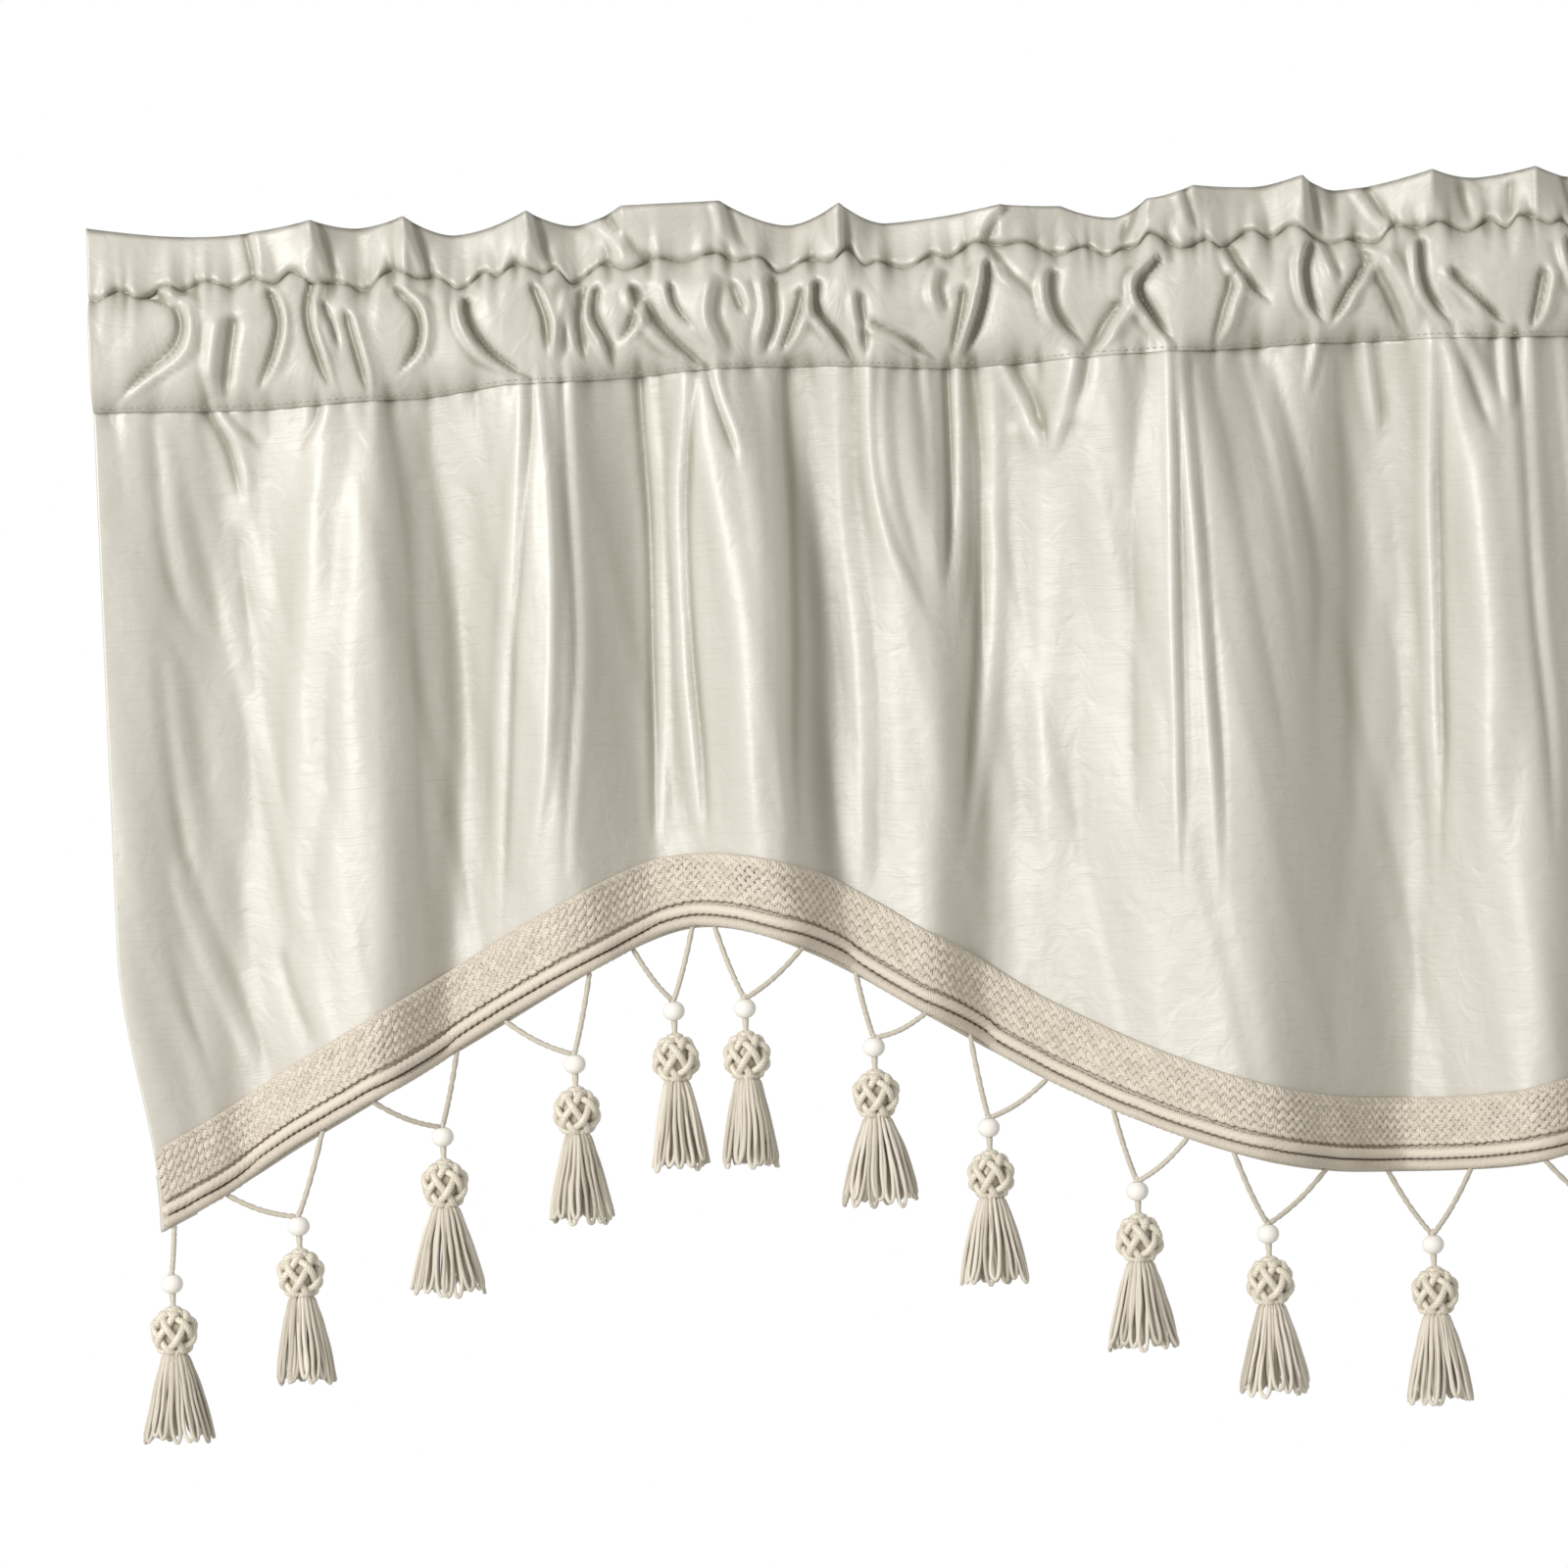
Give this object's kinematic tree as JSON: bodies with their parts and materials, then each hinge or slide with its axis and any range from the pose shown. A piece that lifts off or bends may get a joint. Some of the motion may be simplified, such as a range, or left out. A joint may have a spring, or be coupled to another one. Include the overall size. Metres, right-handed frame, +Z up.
{
  "type": "tassel valance",
  "caption": "Gathered rod-pocket window valance with a scalloped hem, braid trim and hanging tassels on beaded cords, held as it hangs on its rod.",
  "frame": {"origin": "middle of the heading's top edge", "axes": "+X along the rod, to the right as seen from the room, +Y towards the window, +Z up"},
  "size_m": [1.188, 0.0637, 0.566],
  "materials": {
    "silk": "satin, slubbed ivory faux silk",
    "braid": "matte woven beige braid",
    "yarn": "soft sheen beige yarn",
    "pearl": "glossy pearl"
  },
  "bodies": {
    "root": {"heading": "silk", "panel": "silk", "braid": "braid", "tassel_01": "yarn", "tassel_02": "yarn", "tassel_03": "yarn", "tassel_04": "yarn", "tassel_05": "yarn", "tassel_06": "yarn", "tassel_07": "yarn", "tassel_08": "yarn", "tassel_09": "yarn", "tassel_10": "yarn", "tassel_11": "yarn", "tassel_12": "yarn", "tassel_13": "yarn", "tassel_14": "yarn", "tassel_15": "yarn", "tassel_16": "yarn", "tassel_17": "yarn", "tassel_18": "yarn", "tassel_19": "yarn", "tassel_20": "yarn", "tassel_21": "yarn", "bead_01": "pearl", "bead_02": "pearl", "bead_03": "pearl", "bead_04": "pearl", "bead_05": "pearl", "bead_06": "pearl", "bead_07": "pearl", "bead_08": "pearl", "bead_09": "pearl", "bead_10": "pearl", "bead_11": "pearl", "bead_12": "pearl", "bead_13": "pearl", "bead_14": "pearl", "bead_15": "pearl", "bead_16": "pearl", "bead_17": "pearl", "bead_18": "pearl", "bead_19": "pearl", "bead_20": "pearl", "bead_21": "pearl"}
  },
  "joints": []
}
